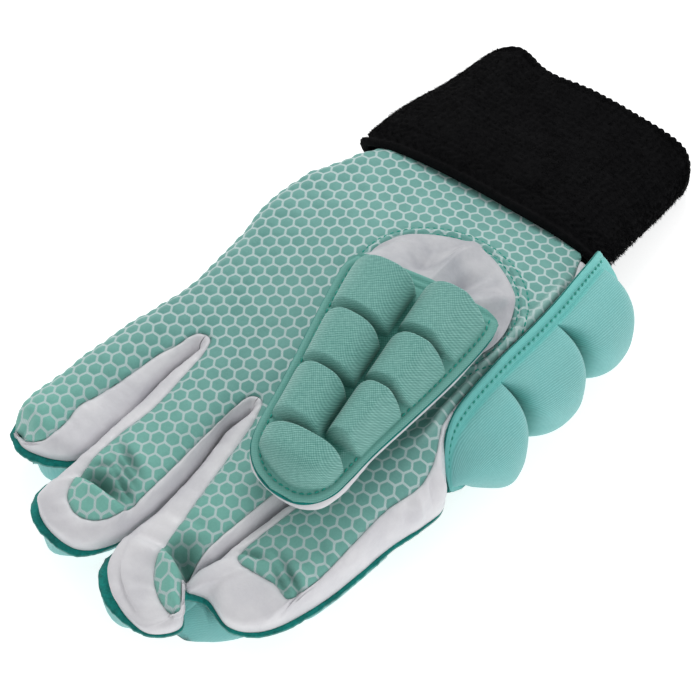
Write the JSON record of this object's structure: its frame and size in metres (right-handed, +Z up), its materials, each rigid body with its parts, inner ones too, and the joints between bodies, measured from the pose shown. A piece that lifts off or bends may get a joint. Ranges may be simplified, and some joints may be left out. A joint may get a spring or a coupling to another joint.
{
  "type": "indoor hockey glove",
  "caption": "Left-hand padded sports glove, palm up, thumb folded over the palm: printed cloth palm, white gussets, lobed foam back and side pads, knitted cuff.",
  "frame": {"origin": "centre of the bounding box at its base, on the floor that the glove lies on", "axes": "+Y from the fingertips to the wrist, +X to the thumb side, +Z up, out of the palm"},
  "size_m": [0.1417, 0.2664, 0.0648],
  "materials": {
    "printed_cloth": "matt mint cloth printed with small hexagons outlined in white",
    "white_gusset": "smooth white synthetic leather with soft wrinkles",
    "foam_knit": "mint knit moulded over foam lobes",
    "teal_felt": "deep teal brushed felt sheet",
    "cuff_knit": "black fuzzy elastic knit"
  },
  "bodies": {
    "root": {"palm_panel": "printed_cloth", "radial_gusset": "white_gusset", "pinky_gusset": "white_gusset", "ring_gusset": "white_gusset", "middle_gusset": "white_gusset", "index_gusset": "white_gusset", "pinky_backing": "teal_felt", "ring_backing": "teal_felt", "middle_backing": "teal_felt", "index_backing": "teal_felt", "pinky_pad": "foam_knit", "ring_pad": "foam_knit", "middle_pad": "foam_knit", "index_pad": "foam_knit", "hand_backing": "teal_felt", "hand_pad": "foam_knit", "side_pad": "foam_knit", "side_backing": "teal_felt", "thumb_pad": "foam_knit", "thumb_backing": "teal_felt", "thumb_gusset": "white_gusset", "thumb_front": "printed_cloth", "thumb_root": "white_gusset", "cuff": "cuff_knit"}
  },
  "joints": []
}
